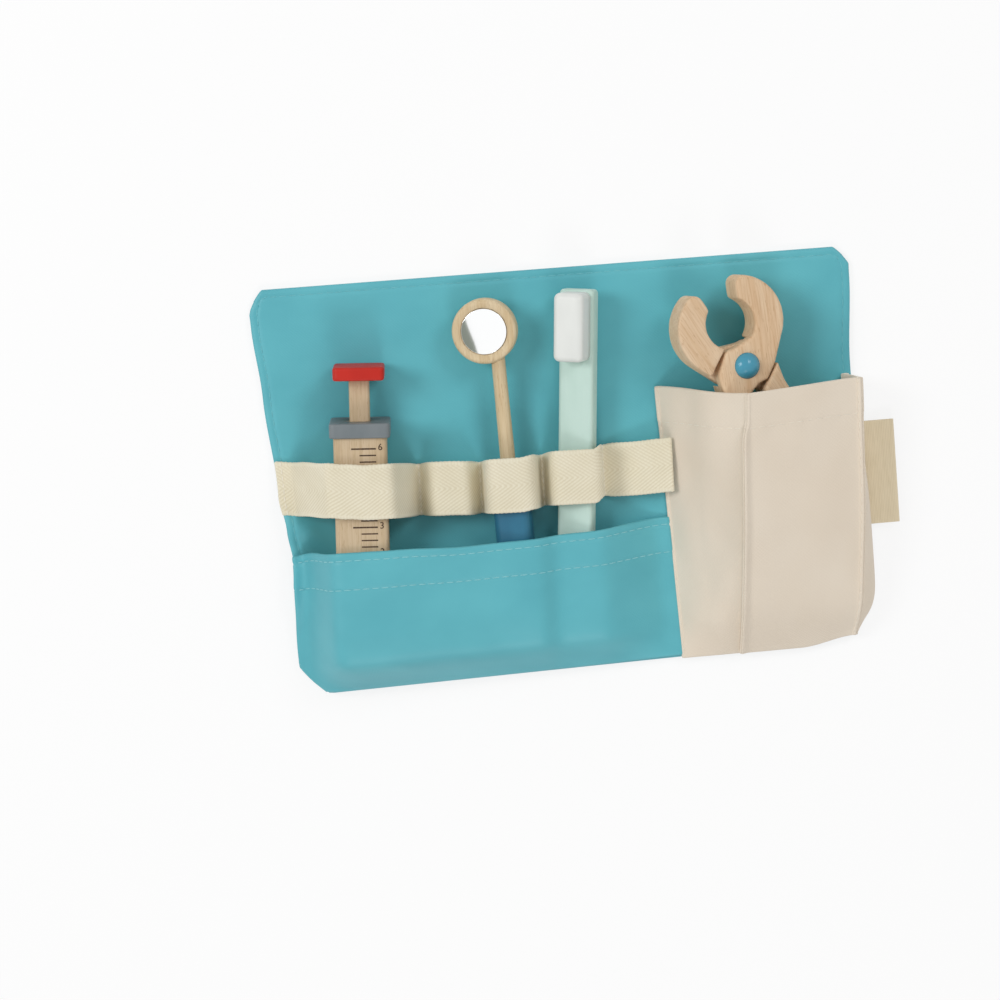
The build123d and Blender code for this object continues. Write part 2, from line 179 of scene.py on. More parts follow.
def weave_height(tree, cloth, spacing):
    """Over and under of a plain weave whose threads are this many millimetres apart."""
    split = add(tree, "ShaderNodeSeparateXYZ", {"Vector": cloth})
    turn = pi / (spacing * MM)
    warp = maths(tree, "COSINE", maths(tree, "MULTIPLY", split.outputs["X"], turn))
    weft = maths(tree, "COSINE", maths(tree, "MULTIPLY", split.outputs["Y"], turn))
    return maths(tree, "MULTIPLY_ADD", maths(tree, "MULTIPLY", warp, weft), 0.5)


def cloth_noise(tree, cloth, width, height, detail=3.0):
    """Noise on the cloth whose blots have this size in millimetres."""
    scale = (1 / (width * MM), 1 / (height * MM), 1)
    scaled = add(tree, "ShaderNodeMapping", {"Vector": cloth, "Scale": scale})
    values = {"Vector": scaled.outputs[0], "Scale": 1.0, "Detail": detail}
    return add(tree, "ShaderNodeTexNoise", values).outputs[0]


# Materials

def coated_canvas(name, colour, shade):
    """Cotton canvas with a coat that fills the weave, so it is smooth, with a soft satin shine."""
    made, tree = material(name, Roughness=0.5, Sheen_Weight=0.08)
    cloth = cloth_uv(tree)
    weave = weave_height(tree, cloth, 0.6)  # 0.45 mm threads, drawn coarser so that they show
    blots = cloth_noise(tree, cloth, 34.0, 26.0)
    creases = cloth_noise(tree, cloth, 14.0, 8.0, 4.0)
    tone = ramp(tree, blots, paint(shade), paint(colour), 0.3, 0.7)
    height = maths(tree, "MULTIPLY_ADD", weave, 0.12, maths(tree, "MULTIPLY_ADD", creases, 0.8))
    return surfaced(made, tone, height, 0.12)


def plain_canvas(name, colour, shade):
    """Unbleached cotton canvas: a matt plain weave with thicker yarns here and there, and painted shade in
    the weave's hollows.
    """
    made, tree = material(name, Roughness=0.92, Sheen_Weight=0.15)
    cloth = cloth_uv(tree)
    weave = weave_height(tree, cloth, 0.65)  # 0.6 mm threads, drawn a little coarser so that they show
    slubs = cloth_noise(tree, cloth, 14.0, 0.7, 2.0)
    blots = cloth_noise(tree, cloth, 30.0, 40.0, 2.0)
    tone = ramp(tree, blots, paint(shade), paint(colour), 0.25, 0.75)
    # Painted shade: the weave's low points, where each thread dips under the next, are made a little darker.
    weave_hollow_shade = ramp(tree, weave, (0.985, 0.98, 0.975, 1), WHITE, 0.1, 0.8)
    height = maths(tree, "MULTIPLY_ADD", slubs, 0.5, weave)
    return surfaced(made, multiplied(tree, tone, weave_hollow_shade), height, 0.035)


def herringbone_cotton(name, colour, groove):
    """Cotton twill tape: matt yarns whose ribs turn round at the tape's middle line; the grooves between the
    ribs are painted darker, as painted shade.
    """
    made, tree = material(name, Roughness=0.95, Sheen_Weight=0.2)
    cloth = cloth_uv(tree)
    rib = add(tree, "ShaderNodeAttribute", attribute_name="rib").outputs["Fac"]
    yarn = cloth_noise(tree, cloth, 0.6, 0.35, 3.0)
    blots = cloth_noise(tree, cloth, 12.0, 12.0, 2.0)
    # Painted shade: the rib value, which also raises the ribs, darkens the grooves between them; the yarn
    # noise mottles it at random.
    rib_shade_and_mottling = maths(tree, "MULTIPLY_ADD", yarn, 0.35, rib)
    tone = ramp(tree, rib_shade_and_mottling, paint(groove), paint(colour), 0.15, 0.85)
    shade = ramp(tree, blots, (0.94, 0.93, 0.90, 1), WHITE, 0.3, 0.7)
    return surfaced(made, multiplied(tree, tone, shade), yarn, 0.10)


def woven_ribbon(name, colour, groove):
    """Polyester label ribbon: fine cross ribs, whose grooves are painted darker as painted shade, and a faint
    shine.
    """
    made, tree = material(name, Roughness=0.6, Sheen_Weight=0.2)
    cloth = cloth_uv(tree)
    split = add(tree, "ShaderNodeSeparateXYZ", {"Vector": cloth})
    ribs = maths(tree, "SINE", maths(tree, "MULTIPLY", split.outputs["X"], 2 * pi / (0.6 * MM)))
    height = maths(tree, "MULTIPLY_ADD", ribs, 0.25, cloth_noise(tree, cloth, 0.8, 6.0, 2.0))
    # Painted shade: the grooves between the ribs are darker; the noise in the height also varies the colour
    # at random.
    return surfaced(made, ramp(tree, height, paint(groove), paint(colour), 0.1, 0.8), height, 0.025)


def sewing_thread(name, colour):
    """Spun polyester thread: two plies twisted together, slightly glossy."""
    made, tree = material(name, Base_Color=paint(colour), Roughness=0.6, Sheen_Weight=0.3)
    return surfaced(made, None, even_noise(tree, 0.3, 1.0), 0.05)


def along_the_grain(tree, place, across, along, detail=3.0, distortion=0.0):
    """Noise drawn out along a tool's own Y axis; both lengths are in millimetres."""
    where = add(tree, "ShaderNodeTexCoord").outputs["Object"]
    own = add(tree, "ShaderNodeMapping", {
        "Vector": where, "Location": place.translation * MM, "Rotation": place.to_euler("XYZ")},
        vector_type="TEXTURE")
    scale = (1 / (across * MM), 1 / (along * MM), 1 / (across * MM))
    drawn = add(tree, "ShaderNodeMapping", {"Vector": own.outputs[0], "Scale": scale})
    return add(tree, "ShaderNodeTexNoise", {
        "Vector": drawn.outputs[0], "Scale": 1.0, "Detail": detail, "Distortion": distortion}).outputs[0]


def sanded_wood(name, place, pale, warm, vein, strength=1.0):
    """Rubberwood, sanded and oiled: broad soft bands, short dark pores and fine fibres along the piece."""
    made, tree = material(name, Roughness=0.62, Specular_IOR_Level=0.35)
    bands = along_the_grain(tree, place, 4.5, 70.0, 2.0, 0.6)
    fibres = along_the_grain(tree, place, 0.55, 12.0, 3.0)
    pores = along_the_grain(tree, place, 0.5, 3.2, 1.0)
    tone = ramp(tree, bands, paint(warm), paint(pale), 0.32, 0.66)
    tone = multiplied(tree, tone, ramp(tree, fibres, paint(vein), WHITE, 0.22, 0.58), 0.55 * strength)
    tone = multiplied(tree, tone, ramp(tree, pores, (0.62, 0.50, 0.38, 1), WHITE, 0.27, 0.36), 0.6 * strength)
    return surfaced(made, tone, fibres, 0.06)


def satin_paint(name, place, colour, shade, roughness=0.42):
    """Water-based paint on sanded wood: an even satin coat in which the grain still shows a little."""
    made, tree = material(name, Roughness=roughness, Specular_IOR_Level=0.35)
    grain = along_the_grain(tree, place, 0.8, 16.0, 3.0)
    cloud = along_the_grain(tree, place, 9.0, 24.0, 2.0)
    return surfaced(made, ramp(tree, cloud, paint(shade), paint(colour), 0.3, 0.65), grain, 0.05)


def mirror_film():
    """Silvered acrylic: a clear mirror with the faintest waves."""
    made, tree = material("silvered_acrylic", Base_Color=paint("#FDFEFE"), Metallic=1.0, Roughness=0.02)
    return surfaced(made, None, even_noise(tree, 8.0, 0.0), 0.002)


def printing_ink(place):
    """Screen-printed ink, dark brown and matt, thinner where the grain is open."""
    made, tree = material("brown_ink", Roughness=0.8)
    fibres = along_the_grain(tree, place, 0.4, 4.0, 2.0)
    return surfaced(made, ramp(tree, fibres, paint("#33241A"), paint("#5E4632"), 0.35, 0.75))


teal_canvas = coated_canvas("teal_coated_canvas", "#5DB5C0", "#53AAB6")
natural_canvas = plain_canvas("natural_cotton_canvas", "#E9DDCC", "#E2D4C1")
# The webbing's second colour is the painted shade in the grooves between its ribs.
webbing_cotton = herringbone_cotton("herringbone_cotton", "#EDE6D0", "#DED4B9")
# The ribbon's second colour is the painted shade in the grooves between its ribs.
label_ribbon = woven_ribbon("label_ribbon", "#EBDCBE", "#DDCDAC")
teal_thread = sewing_thread("pale_teal_thread", "#86C9CE")
cream_thread = sewing_thread("cream_thread", "#EFE8D8")
canvas_thread = sewing_thread("canvas_thread", "#E8DFCF")
edge_thread = sewing_thread("teal_thread", "#6BBBC3")
syringe_wood = sanded_wood("syringe_rubberwood", SYRINGE, "#CFBA9C", "#C3AC8A", "#C2A986", 0.6)
mirror_wood = sanded_wood("mirror_rubberwood", MIRROR, "#DECBA9", "#D2BB94", "#C8AE86", 0.7)
front_arm_wood = sanded_wood("front_arm_rubberwood", FRONT_ARM, "#E3C8A7", "#D9B893", "#C7A37A", 0.8)
back_arm_wood = sanded_wood("back_arm_rubberwood", BACK_ARM, "#E4CAAB", "#DABB97", "#CAA981", 0.8)
grey_paint = satin_paint("grey_satin_paint", SYRINGE, "#7B8285", "#6B7377")
red_paint = satin_paint("red_satin_paint", SYRINGE, "#C22313", "#B51D0F", 0.5)
blue_grip_paint = satin_paint("blue_satin_paint", MIRROR, "#31738F", "#2A6784")
mint_paint = satin_paint("mint_satin_paint", BRUSH, "#C5DED4", "#BAD5CA")
white_paint = satin_paint("white_satin_paint", BRUSH, "#E7E9E5", "#DFE1DD")
cap_paint = satin_paint("blue_gloss_paint", PLIERS, "#4C9DB6", "#418DA7", 0.2)
silver = mirror_film()
ink = printing_ink(SYRINGE)


# Meshes

def linked(name, data):
    """A new object in the scene."""
    made = bpy.data.objects.new(name, data)
    bpy.context.scene.collection.objects.link(made)
    return made


def plain_mesh(source):
    """The mesh that an object's modifiers or its text make. The object itself is removed."""
    bpy.context.view_layer.update()
    mesh = bpy.data.meshes.new_from_object(source.evaluated_get(bpy.context.evaluated_depsgraph_get()))
    bpy.data.objects.remove(source)
    return mesh


def in_one_finish(mesh, finish):
    mesh.materials.clear()
    mesh.materials.append(finish)
    mesh.polygons.foreach_set("material_index", [0] * len(mesh.polygons))
    return mesh


def made_object(name, points, faces, finish, uvs=None):
    """A smooth-shaded object from points in millimetres."""
    mesh = bpy.data.meshes.new(name)
    mesh.from_pydata([Vector(point) * MM for point in points], [], faces)
    if uvs:
        layer = mesh.uv_layers.new(name="cloth")
        for loop in mesh.loops:
            layer.data[loop.index].uv = uvs[loop.vertex_index]
    mesh.polygons.foreach_set("use_smooth", [True] * len(faces))
    mesh.materials.append(finish)
    return linked(name, mesh)


def dressed(piece, body, slot, *nodes):
    """The piece rides on its body and stands for these nodes."""
    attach(piece, body)
    if nodes:
        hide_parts(*nodes)
    return piece


def cloth(name, rows, sheet, finish, relief=None):
    """A closed sheet with round edges. Rows run from low to high y, and points from left to right,
    so that its front faces up. Sheet is its thickness, and relief adds to each point's.
    Returns the object and the points of its front."""
    last_row = len(rows) - 1
    last = len(rows[0]) - 1
    front, back, uvs, rims = [], [], [], []
    down = [0.0] * (last + 1)
    for i, row in enumerate(rows):
        before, after = rows[max(i - 1, 0)], rows[min(i + 1, last_row)]
        along = 0.0
        for j, point in enumerate(row):
            run = row[min(j + 1, last)] - row[max(j - 1, 0)]
            rise = after[j] - before[j]
            normal = run.cross(rise).normalized()
            half = (sheet + (relief[i][j] if relief else 0.0)) / 2
            front.append(point + normal * half)
            back.append(point - normal * half)
            if j:
                along += (point - row[j - 1]).length
            if i:
                down[j] += (point - rows[i - 1][j]).length
            uvs.append((along * MM, down[j] * MM))
            out = Vector()
            if i in (0, last_row):
                out += rise.normalized() * (1 if i else -1)
            if j in (0, last):
                out += run.normalized() * (1 if j else -1)
            if out.length:
                out.normalize()
                steps = [point + normal * half * cos(k * pi / 4) + out * half * sin(k * pi / 4)
                         for k in (1, 2, 3)]
                rims.append(((i, j), steps))
    wide = last + 1
    count = len(front)
    points = front + back
    faces = []
    for i in range(last_row):
        for j in range(last):
            a = i * wide + j
            faces.append((a, a + 1, a + wide + 1, a + wide))
            faces.append((count + a, count + a + wide, count + a + wide + 1, count + a + 1))
    first_rim = {}
    for (i, j), steps in rims:
        first_rim[i, j] = len(points)
        points.extend(steps)
        uvs.extend([uvs[i * wide + j]] * 3)
    uvs = uvs[:count] * 2 + uvs[count:]
    loop = [(0, j) for j in range(last)] + [(i, last) for i in range(last_row)]
    loop += [(last_row, j) for j in range(last, 0, -1)] + [(i, 0) for i in range(last_row, 0, -1)]
    for here, there in zip(loop, loop[1:] + loop[:1]):
        a = here[0] * wide + here[1]
        b = there[0] * wide + there[1]
        start = [a, *range(first_rim[here], first_rim[here] + 3), count + a]
        end = [b, *range(first_rim[there], first_rim[there] + 3), count + b]
        for k in range(4):
            faces.append((start[k], start[k + 1], end[k + 1], end[k]))
    made = made_object(name, points, faces, finish, uvs)
    return made, [front[i * wide:(i + 1) * wide] for i in range(last_row + 1)]


def softened(line, passes):
    """A line of points or numbers, evened out between its fixed ends."""
    for _ in range(passes):
        line = [line[0], *[(a + 2 * b + c) / 4 for a, b, c in zip(line, line[1:], line[2:])], line[-1]]
    return line


def evened(line, count):
    """The same path with this many points, equally far apart."""
    far = [0.0]
    for a, b in zip(line, line[1:]):
        far.append(far[-1] + (b - a).length)
    made, k = [], 0
    for step in range(count):
        target = far[-1] * step / (count - 1)
        while k < len(far) - 2 and far[k + 1] < target:
            k += 1
        made.append(line[k].lerp(line[k + 1], (target - far[k]) / (far[k + 1] - far[k])))
    return made


def spaced(start, end, step):
    """Numbers from start to end, about one step apart."""
    count = max(1, round(abs(end - start) / step))
    return [start + (end - start) * k / count for k in range(count + 1)]


def dent(distance, width):
    """A smooth bump of height 1 at no distance."""
    return exp(-(distance / width) ** 2)


def fading(distance, sharpness):
    """1 well before no distance and 0 well past it."""
    return 1 / (1 + exp(distance * sharpness))


def nearest(values, aim):
    """The index of the value nearest to the aim."""
    return min(range(len(values)), key=lambda k: abs(values[k] - aim))


def waviness(x, y, seed):
    return noise.noise(Vector((x, y, seed)))


def cad_top(node, x, y):
    """The height of a node's upper side above a point of the table, or None beside it."""
    hit, place, _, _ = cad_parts[node].ray_cast(Vector((x, y, 100)) * MM, (0, 0, -1))
    return place.z / MM if hit else None


# Things that repeat, grown by geometry nodes

def grower(name, **inputs):
    """A new tree with these named inputs, and the sockets that bring them in."""
    tree = bpy.data.node_groups.new(name, "GeometryNodeTree")
    for key, kind in inputs.items():
        tree.interface.new_socket(key, in_out="INPUT", socket_type="NodeSocket" + kind)
    tree.interface.new_socket("Grown", in_out="OUTPUT", socket_type="NodeSocketGeometry")
    return tree, add(tree, "NodeGroupInput").outputs


def set_out(tree, points, copied, placing=()):
    """Real copies of a mesh on points."""
    inputs = {"Points": points, "Instance": copied, **dict(placing)}
    copies = add(tree, "GeometryNodeInstanceOnPoints", inputs).outputs[0]
    return add(tree, "GeometryNodeRealizeInstances", {"Geometry": copies}).outputs[0]


def painted(tree, mesh, finish):
    """The tree, which gives out the mesh with its material."""
    done = add(tree, "GeometryNodeSetMaterial", {"Geometry": mesh, "Material": finish}).outputs[0]
    add(tree, "NodeGroupOutput", {0: done})
    return tree


def stitch_tree():
    """Stitches along every line of a mesh of edges."""
    tree, source = grower("stitches", Lines="Geometry", Pitch="Float", Length="Float", Radius="Float",
                          Thread="Material")
    lines = add(tree, "GeometryNodeMeshToCurve", {"Mesh": source["Lines"]}).outputs[0]
    marks = add(tree, "GeometryNodeResampleCurve", {"Curve": lines, "Length": source["Pitch"]}, mode="LENGTH")
    ball = add(tree, "GeometryNodeMeshUVSphere", {"Segments": 8, "Rings": 6, "Radius": 1.0}).outputs[0]
    half = maths(tree, "MULTIPLY", source["Length"], 0.5)
    size = add(tree, "ShaderNodeCombineXYZ", {"X": source["Radius"], "Y": source["Radius"], "Z": half})
    tangent = add(tree, "GeometryNodeInputTangent").outputs[0]
    turn = add(tree, "FunctionNodeAlignRotationToVector", {"Vector": tangent}, axis="Z").outputs[0]
    real = set_out(tree, marks.outputs[0], ball, {"Rotation": turn, "Scale": size.outputs[0]})
    smooth = add(tree, "GeometryNodeSetShadeSmooth", {0: real}).outputs[0]
    return painted(tree, smooth, source["Thread"])


def tick_tree():
    """A column of equal printed ticks, going down from the origin."""
    tree, source = grower("ticks", Start="Geometry", Count="Int", Step="Vector", Size="Vector",
                          Ink="Material")
    line = {"Count": source["Count"], "Offset": source["Step"]}
    column = add(tree, "GeometryNodeMeshLine", line).outputs[0]
    tick = add(tree, "GeometryNodeMeshCube", {"Size": source["Size"]}).outputs[0]
    return painted(tree, set_out(tree, column, tick), source["Ink"])


def grown(name, start, tree, **values):
    """The plain mesh that a tree grows from a starting mesh."""
    seed = linked(name + "_lines", start)
    modifier = seed.modifiers.new("grow", "NODES")
    modifier.node_group = tree
    for item in tree.interface.items_tree:
        if item.name in values:
            modifier[item.identifier] = values[item.name]
    return linked(name, plain_mesh(seed))


stitches = stitch_tree()
ticks = tick_tree()


def sewn(name, lines, thread, body="case", slot="teal_canvas", pitch=STITCH_PITCH, length=STITCH_LENGTH,
         radius=THREAD_RADIUS):
    """Rows of stitches along lines of points in millimetres."""
    points, edges = [], []
    for line in lines:
        edges.extend((len(points) + k, len(points) + k + 1) for k in range(len(line) - 1))
        points.extend(point * MM for point in line)
    start = bpy.data.meshes.new(name + "_lines")
    start.from_pydata(points, edges, [])
    made = grown(name, start, stitches, Pitch=pitch * MM, Length=length * MM,
                 Radius=radius * MM, Thread=thread)
    return dressed(made, body, slot)


# Case panels

# The case as it was sewn: each side's x by height, and each corner's cut as (width, height)
LEFT_EDGE = ((-72.5, -102.5), (-55.0, -101.9), (-38.0, -101.0), (-24.0, -100.0), (-12.0, -101.4),
             (0.0, -103.2), (35.0, -105.5), (60.0, -107.2), (72.5, -107.6))
RIGHT_EDGE = ((-72.5, 106.0), (0.0, 105.6), (30.0, 105.2), (62.0, 107.0), (72.5, 107.2))
CORNER_CUTS = {(-1, 1): (5.5, 8.0), (1, 1): (5.5, 6.5), (-1, -1): (11.0, 11.0), (1, -1): (9.0, 15.0)}
CORNER_BEND = 1.15
# How much taller the case is on its left than on its right, as a share for each millimetre
CASE_BOW = 0.00018


def eased(table, at):
    """A value from (place, value) pairs, with an even bend between them."""
    if at <= table[0][0]:
        return table[0][1]
    for (low, a), (high, b) in zip(table, table[1:]):
        if at <= high:
            share = (at - low) / (high - low)
            return a + (b - a) * share * share * (3 - 2 * share)
    return table[-1][1]


def hem_turn(x, y):
    """How far the lower edge turns up toward the right corner."""
    return eased(((80.0, 0.0), (100.0, 3.0), (107.0, 5.5)), x) * dent(y + CASE_TOP, 9.0)


def on_outline(x, y):
    """A point of the plain rectangle, moved to the case's own outline with its cut corners."""
    side = (1 if x > 0 else -1, 1 if y > 0 else -1)
    wide, high = CORNER_CUTS[side]
    u = (abs(x) - CASE_SIDE + wide) / wide
    v = (abs(y) - CASE_TOP + high) / high
    if u > 0 and v > 0:
        pull = max(u, v) / (u ** CORNER_BEND + v ** CORNER_BEND) ** (1 / CORNER_BEND)
        x = side[0] * (CASE_SIDE - wide + wide * u * pull)
        y = side[1] * (CASE_TOP - high + high * v * pull)
    left, right = eased(LEFT_EDGE, y), eased(RIGHT_EDGE, y)
    return left + (right - left) * (x + CASE_SIDE) / CASE_WIDTH, y * (1 - CASE_BOW * x) + hem_turn(x, y)


def edge_distance(x, y):
    return min(CASE_SIDE - abs(x), CASE_TOP - abs(y))


def across(half, band=6.0, fine=0.5, coarse=2.0):
    """Grid lines from one edge to the other, close together beside both."""
    edge = spaced(half - band, half, fine)
    inner = spaced(band - half, half - band, coarse)
    return [-v for v in reversed(edge)] + inner[1:-1] + edge


def border_lift(x, y):
    """How far the taut pocket draws the case's left border off the table."""
    return 5.0 * dent(y + 27.0, 18.0) * max(0.0, (-84.0 - x) / 16) ** 2


def lining_height(x, y):
    """The lining's middle surface: soft hollows, the stitch groove and the rolled edge."""
    far = edge_distance(x, y)
    bare = fading(POCKET_LIP - y, 1)
    hollow = 0.45 * (0.5 + waviness(x / 27, y / 21, 3.0)) * min(1.0, far / 14)
    pucker = 0.05 * sin(2 * pi * (x + y) / 5.3) * dent(far - 3.4, 2.2)
    groove = 0.30 * dent(far - LIP_STITCH, 0.7) * bare
    roll = 0.45 * dent(far, 1.1) * bare
    fold = 1.8 * dent((x + y + 112.5) / 1.414, 3.6) * dent(y + 12.0, 6.5) * min(1.0, max(0.0, (-86 - x) / 6))
    lift = border_lift(*on_outline(x, y))
    return LINING_TOP - CANVAS / 2 - hollow + pucker * bare - groove - roll + fold + lift


def panel_rows(height, trim):
    columns = across(CASE_SIDE - trim)
    levels = across(CASE_TOP - trim)
    return [[Vector((*on_outline(x, y), height(x, y))) for x in columns] for y in levels]


def case_panels():
    sheet = CANVAS - 0.1
    lining, _ = cloth("lining_cloth", panel_rows(lining_height, sheet / 2), sheet, teal_canvas)
    dressed(lining, "case", "teal_canvas", "lining_panel")

    def outer_height(x, y):
        return CANVAS / 2 + 0.25 * dent(edge_distance(x, y), 1.2) + border_lift(*on_outline(x, y))

    outer, _ = cloth("outer_cloth", panel_rows(outer_height, sheet / 2), sheet, teal_canvas)
    dressed(outer, "case", "teal_canvas", "outer_panel")
    x, y = CASE_SIDE - LIP_STITCH, CASE_TOP - LIP_STITCH
    corners = [Vector(corner) for corner in ((-x, -y), (x, -y), (x, y), (-x, y))]
    round_edge = [a.lerp(b, k / 160) for a, b in zip(corners, corners[1:] + corners[:1]) for k in range(160)]
    line = [Vector((*on_outline(*at), lining_height(*at) + sheet / 2 + 0.05)) for at in round_edge]
    sewn("edge_stitching", [line + line[:1]], edge_thread, radius=0.17)


# Front pocket

POCKET_COLUMNS = 190
# How far the lip strays from its straight line, by x
LIP_DRIFT = ((-99.0, -0.9), (-90.0, 0.4), (-82.0, 1.1), (-74.0, 0.9), (-64.0, 0.6), (-37.0, -0.95),
             (-19.0, -0.9), (3.0, -0.5), (33.0, 0.6))


def pocket_left(y):
    """The pocket's left edge, just inside the case's with its cut corner."""
    wide, high = CORNER_CUTS[-1, -1]
    share = (-y - CASE_TOP + high) / high
    cut = wide * (1 - (1 - min(share, 1.0) ** CORNER_BEND) ** (1 / CORNER_BEND)) if share > 0 else 0.0
    return eased(LEFT_EDGE, y) + cut + 0.5


def front_pocket():
    """The taut pocket: its shape follows its solid, with a folded hem and two stitch rows at the lip."""
    levels = spaced(POCKET_HEM + POCKET_SHEET / 2, POCKET_LIP - POCKET_SHEET / 2, 0.5)
    low_z = LINING_TOP + POCKET_SHEET / 2
    rows = []
    for y in levels:
        probe_y = min(max(y, POCKET_HEM + 1), POCKET_LIP - 0.3)
        left = pocket_left(y)
        line = [Vector((x, y, low_z + border_lift(x, y) + 0.1))
                for x in spaced(left, max(left + 0.6, -97.5), 0.6)]
        x = line[-1].x + 0.5
        while (top := cad_top("front_pocket", x, probe_y)) is not None:
            line.append(Vector((x, y, max(low_z + border_lift(x, y) + 0.1, top - POCKET_SHEET / 2))))
            x += 0.6
        line += [Vector((at, y, low_z)) for at in spaced(x, max(x + 0.6, seam_x(y) - 0.9), 0.6)]
        rows.append(evened(softened(line, 24), POCKET_COLUMNS))
    columns = [softened(column, 45) for column in zip(*rows)]
    rows = [list(row) for row in zip(*columns)]
    relief = []
    for row, y in zip(rows, levels):
        drop = POCKET_LIP - y
        high = (y - POCKET_HEM) / (POCKET_LIP - POCKET_HEM)
        grooves = 0.55 * dent(drop - LIP_STITCH, 0.45) + 0.5 * dent(drop - HEM_STITCH, 0.45)
        relief.append([0.5 * fading(drop - HEM_DEPTH, 5) - grooves] * POCKET_COLUMNS)
        puckers = dent(drop - LIP_STITCH, 2.0) + dent(drop - HEM_STITCH, 2.6)
        for j, point in enumerate(row):
            ripple = 0.10 * puckers * waviness(point.x / 3.1, y / 9, 8.0)
            slack = 0.35 * waviness(point.x / 24, y / 13, 5.0)
            edge = min(1.0, min(j, POCKET_COLUMNS - 1 - j) / 12, (y - POCKET_HEM) / 8)
            sway = eased(LIP_DRIFT, point.x) * high ** 2
            hem_bow = -CASE_BOW * point.x * y * dent(y - POCKET_HEM, 25.0)
            row[j] = point + Vector((0, sway + hem_bow, ripple + max(slack, -0.1) * edge))
    made, front = cloth("pocket_cloth", rows, POCKET_SHEET, teal_canvas, relief)
    dressed(made, "case", "teal_canvas", "front_pocket")
    picked = [nearest(levels, POCKET_LIP - far) for far in (LIP_STITCH, HEM_STITCH)]
    lines = [[point + Vector((0, 0, 0.06)) for point in front[i][2:-2]] for i in picked]
    sewn("pocket_stitching", lines, teal_thread)


# Loop tape

# How far the tape's middle strays from its straight line, by x, and how much a raised part slides up with it
TAPE_DRIFT = ((-104.0, -0.3), (-94.8, -1.2), (-84.7, -2.5), (-78.5, -3.3), (-70.0, -4.1),
              (-53.0, -4.0), (-43.0, -4.3), (-34.0, -4.7), (-17.0, -4.8), (-11.0, -3.9),
              (-6.0, -3.2), (9.5, -3.3), (13.2, -1.3), (24.0, -1.4), (37.5, -0.9))
TAPE_SLIDE = 0.14
RIB_ANGLE = radians(34)
RIB_PITCH = 1.05
TAPE_ROWS = 62
TAPE_COLUMNS = 640


def tape_line():
    """The webbing's middle line as (x, 0, z), read off its solid's upper side."""
    line = []
    for k in range(round((45 + CASE_SIDE) / 0.2)):
        x = 0.2 * k - CASE_SIDE
        along = x - TAPE_MIDDLE[0]
        top = cad_top("loop_tape", TAPE_MIDDLE[0] + along * cos(TAPE_SLOPE),
                      TAPE_MIDDLE[1] + along * sin(TAPE_SLOPE))
        if top is not None:
            line.append(Vector((x, 0, top)))
    first = line[0]
    line = [Vector((first.x - 0.2 * k, 0, first.z)) for k in range(9, 0, -1)] + line
    under = []
    for k, point in enumerate(line):
        run = line[min(k + 1, len(line) - 1)] - line[max(k - 1, 0)]
        under.append(point - Vector((-run.z, 0, run.x)).normalized() * TAPE_SHEET / 2)
    return evened(softened(evened(under, TAPE_COLUMNS), 12), TAPE_COLUMNS)


def loop_tape():
    """Herringbone tape: every rib of the weave is raised."""
    line = tape_line()
    step = (line[1] - line[0]).length
    half = TAPE_WIDTH / 2 - TAPE_SHEET / 2
    turn = Matrix.Translation((*TAPE_MIDDLE, 0)) @ Matrix.Rotation(TAPE_SLOPE, 4, "Z")
    turn = turn @ Matrix.Translation((-TAPE_MIDDLE[0], 0, 0))
    rows, relief, ribs = [], [], []
    for i in range(TAPE_ROWS):
        share = 2 * i / (TAPE_ROWS - 1) - 1
        row, lifts = [], []
        for k, point in enumerate(line):
            u = k * step
            gather = sum(dent(point.x - x, 2.2) for x in TAPE_STITCH_X)
            v = share * half * (1 - 0.035 * gather)
            v += 0.07 * sin(2 * pi * u / 1.6) * abs(share) ** 12 * copysign(1, share)
            phase = (u * sin(RIB_ANGLE) + abs(v) * cos(RIB_ANGLE)) / RIB_PITCH
            beads = (u * cos(RIB_ANGLE) - abs(v) * sin(RIB_ANGLE)) / 1.3
            bead = 0.78 + 0.22 * sin(2 * pi * beads + 1.5 * pi * round(phase))
            rib = (0.5 + 0.5 * sin(2 * pi * phase)) * bead
            if abs(v) > half - 0.9:
                rib = 0.55 + 0.2 * sin(2 * pi * u / 1.1)
            sag = 0.25 * waviness(u / 15, v / 9, 2.0)
            drift = eased(TAPE_DRIFT, point.x) + TAPE_SLIDE * point.z
            here = turn @ (point + Vector((0, v + drift, max(sag, -0.1))))
            here.x += max(0.0, (-94.0 - point.x) / 9.3) * (eased(LEFT_EDGE, here.y) + 103.7)
            here.z += border_lift(here.x, here.y)
            row.append(here)
            lifts.append(0.16 * (rib - 0.6) - 0.25 * gather)
            ribs.append(rib)
        rows.append(row)
        relief.append(lifts)
    made, front = cloth("herringbone_tape", rows, TAPE_SHEET, webbing_cotton, relief)
    # Each rib's height, which the webbing's material also uses to paint shade in the grooves.
    rib_layer = made.data.attributes.new("rib", "FLOAT", "POINT")
    values = ribs * 2
    values += [0.5] * (len(made.data.vertices) - len(values))
    rib_layer.data.foreach_set("value", values)
    dressed(made, "case", "cotton_webbing", "loop_tape")
    lines = []
    for x in (line[0].x + 1.6, *TAPE_STITCH_X):
        k = nearest([point.x for point in line], x)
        lines.append([row[k] + Vector((0, 0, 0.08)) for row in front[2:-2]])
    sewn("tape_stitching", lines, cream_thread, slot="cotton_webbing", pitch=2.4, length=1.9)


# Box pocket

def station(y, values):
    """A value between the box pocket's levels, from the values at each."""
    for low, high, a, b in zip(BOX_LEVELS, BOX_LEVELS[1:], values, values[1:]):
        if y <= high:
            return a + (b - a) * (y - low) / (high - low)
    return values[-1]


def station_line(levels, stations):
    """A ridge or crease as points, eased at the levels where it turns."""
    line = []
    for y in levels:
        inset = station(y, [s[0] for s in stations])
        line.append(Vector((CASE_SIDE - inset, y, station(y, [s[1] for s in stations]))))
    return softened(line, 120)


